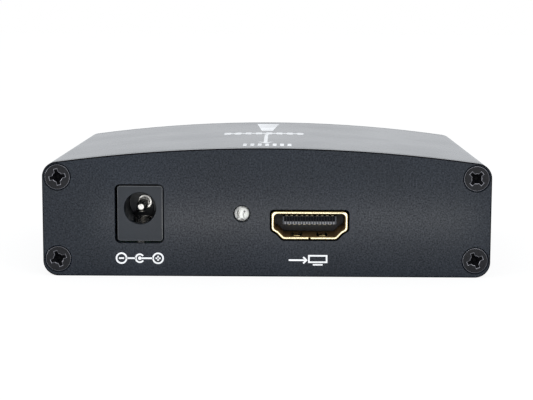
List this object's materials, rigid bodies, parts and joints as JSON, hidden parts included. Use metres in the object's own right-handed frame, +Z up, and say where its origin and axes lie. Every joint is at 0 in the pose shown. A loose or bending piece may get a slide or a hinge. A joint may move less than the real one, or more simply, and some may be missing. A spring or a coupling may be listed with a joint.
{
  "type": "vga to hdmi converter",
  "caption": "Small black aluminium signal converter with an arched top: DC, light and HDMI at one end, VGA and audio sockets at the other.",
  "frame": {"origin": "centre of the case's flat base, midway between the two end panels' outer faces", "axes": "+X to the right and -Y out of the output end as the picture shows it (power socket, light and HDMI socket); +Y out of the input end; +Z up through the arched top"},
  "size_m": [0.088, 0.0762, 0.0254],
  "materials": {
    "black_anodised": "bead-blasted and anodised black",
    "black_steel": "black zinc with bright rims",
    "board_laminate": "green solder mask",
    "black_plastic": "moulded, satin",
    "nickel_plate": "nickel plate",
    "clear_epoxy": "water-clear epoxy",
    "tin_plate": "tin plate, satin",
    "gold_plate": "thin gold plate",
    "blue_plastic": "moulded, satin",
    "white_plastic": "moulded, gloss",
    "red_plastic": "moulded, gloss",
    "chip_resin": "moulded epoxy, matte",
    "aluminium_can": "drawn aluminium, satin",
    "ferrite": "sintered, matte",
    "copper_wire": "enamelled copper",
    "tan_ceramic": "fired ceramic, matte"
  },
  "bodies": {
    "converter": {"case_tube": "black_anodised", "front_panel": "black_anodised", "rear_panel": "black_anodised", "front_panel_screws": "black_steel", "rear_panel_screws": "black_steel", "main_board": "board_laminate", "dc_jack_housing": "black_plastic", "dc_jack_centre_pin": "nickel_plate", "dc_jack_leaf_terminal": "nickel_plate", "dc_jack_shunt_contact": "nickel_plate", "led_lens": "clear_epoxy", "led_lead_frame": "tin_plate", "hdmi_shell": "gold_plate", "hdmi_insulator": "black_plastic", "hdmi_contacts": "gold_plate", "vga_shell": "nickel_plate", "vga_insulator": "blue_plastic", "vga_housing": "black_plastic", "vga_contacts": "gold_plate", "vga_jackscrews": "nickel_plate", "audio_housing": "black_plastic", "audio_left_insulator": "white_plastic", "audio_right_insulator": "red_plastic", "audio_left_collar": "white_plastic", "audio_right_collar": "red_plastic", "audio_left_sleeve": "nickel_plate", "audio_right_sleeve": "nickel_plate", "audio_centre_contacts": "nickel_plate", "converter_chip": "chip_resin", "converter_chip_leads": "tin_plate", "audio_chip": "chip_resin", "audio_chip_leads": "tin_plate", "memory_chip": "chip_resin", "memory_chip_leads": "tin_plate", "regulator_bodies": "chip_resin", "regulator_leads": "tin_plate", "crystal_can": "aluminium_can", "crystal_base": "black_plastic", "capacitor_cans": "aluminium_can", "capacitor_bases": "black_plastic", "inductor_core": "ferrite", "inductor_winding": "copper_wire", "chip_capacitors": "tan_ceramic", "chip_resistors": "chip_resin", "input_diode": "chip_resin", "protection_arrays": "chip_resin"},
    "dc_leaf": {"dc_jack_leaf_contact": "nickel_plate"}
  },
  "joints": [
    {"name": "dc_leaf_press", "type": "hinge", "parent": "converter", "child": "dc_leaf", "pos_m": [-0.02487, -0.0218, 0.0096], "axis": [1, 0, 0], "range_deg": [0, 8], "stiffness_Nm_per_rad": 0.1, "springref_deg": -2.86}
  ]
}
